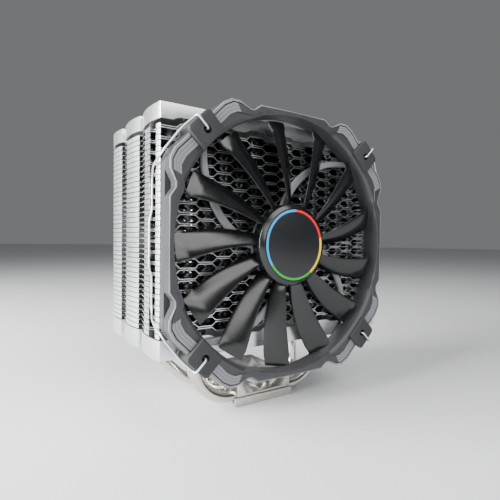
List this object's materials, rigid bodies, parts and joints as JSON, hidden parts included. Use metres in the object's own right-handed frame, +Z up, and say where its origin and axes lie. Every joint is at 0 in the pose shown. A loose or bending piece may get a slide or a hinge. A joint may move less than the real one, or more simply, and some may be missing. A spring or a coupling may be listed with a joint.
{
  "type": "cpu tower cooler",
  "caption": "Tower heat sink of stacked fins on bent heat pipes and a contact base, with a slim axial fan held in front of the stack by wire clips.",
  "frame": {"origin": "centre of the cold plate's contact face, the flat face that sits on the processor", "axes": "+Z up, away from the processor, along the heat pipes' risers; -Y is the fan's side, and the air flows towards +Y; +X is to the right as seen from the fan's side"},
  "size_m": [0.1444, 0.0998, 0.1613],
  "materials": {
    "frame_plastic": "moulded, dark grey, satin",
    "blade_plastic": "moulded, near black, semi-gloss",
    "pad_rubber": "moulded soft rubber, black",
    "badge_print": "printed film with a ring in four colours",
    "fin_aluminium": "stamped sheet, bright",
    "cap_aluminium": "stamped sheet, brushed",
    "nickel_plate": "nickel plated copper, bright",
    "spring_steel": "drawn spring wire",
    "magnet_ferrite": "sintered ferrite",
    "motor_windings": "enamelled copper wire on laminated poles",
    "board_laminate": "solder mask on glass laminate",
    "bearing_brass": "turned"
  },
  "bodies": {
    "heatsink": {"cold_plate": "nickel_plate", "base_block": "nickel_plate", "heat_pipe_1": "nickel_plate", "heat_pipe_2": "nickel_plate", "heat_pipe_3": "nickel_plate", "heat_pipe_4": "nickel_plate", "bottom_cap": "cap_aluminium", "fin_01": "fin_aluminium", "fin_02": "fin_aluminium", "fin_03": "fin_aluminium", "fin_04": "fin_aluminium", "fin_05": "fin_aluminium", "fin_06": "fin_aluminium", "fin_07": "fin_aluminium", "fin_08": "fin_aluminium", "fin_09": "fin_aluminium", "fin_10": "fin_aluminium", "fin_11": "fin_aluminium", "fin_12": "fin_aluminium", "fin_13": "fin_aluminium", "fin_14": "fin_aluminium", "fin_15": "fin_aluminium", "fin_16": "fin_aluminium", "fin_17": "fin_aluminium", "fin_18": "fin_aluminium", "fin_19": "fin_aluminium", "fin_20": "fin_aluminium", "fin_21": "fin_aluminium", "fin_22": "fin_aluminium", "fin_23": "fin_aluminium", "fin_24": "fin_aluminium", "fin_25": "fin_aluminium", "fin_26": "fin_aluminium", "fin_27": "fin_aluminium", "fin_28": "fin_aluminium", "fin_29": "fin_aluminium", "fin_30": "fin_aluminium", "fin_31": "fin_aluminium", "fin_32": "fin_aluminium", "fin_33": "fin_aluminium", "fin_34": "fin_aluminium", "fin_35": "fin_aluminium", "fin_36": "fin_aluminium", "fin_37": "fin_aluminium", "fin_38": "fin_aluminium", "top_cap": "cap_aluminium", "fan_frame": "frame_plastic", "corner_pad_top_right": "pad_rubber", "corner_pad_bottom_right": "pad_rubber", "corner_pad_bottom_left": "pad_rubber", "corner_pad_top_left": "pad_rubber", "motor_stator": "motor_windings", "motor_board": "board_laminate", "bearing_sleeve": "bearing_brass"},
    "rotor": {"fan_rotor": "blade_plastic", "hub_badge": "badge_print", "rotor_shaft": "spring_steel", "magnet_ring": "magnet_ferrite"},
    "clip_left": {"fan_clip_left": "spring_steel"},
    "clip_right": {"fan_clip_right": "spring_steel"}
  },
  "joints": [
    {"name": "fan_spin", "type": "hinge", "parent": "heatsink", "child": "rotor", "pos_m": [0, -0.041, 0.0915], "axis": [0, -1, 0], "continuous": true},
    {"name": "clip_left_swing", "type": "hinge", "parent": "heatsink", "child": "clip_left", "pos_m": [-0.0525, -0.049, 0.0915], "axis": [0, 0, 1], "range_deg": [0, 20]},
    {"name": "clip_right_swing", "type": "hinge", "parent": "heatsink", "child": "clip_right", "pos_m": [0.0525, -0.049, 0.0915], "axis": [0, 0, -1], "range_deg": [0, 20]}
  ]
}
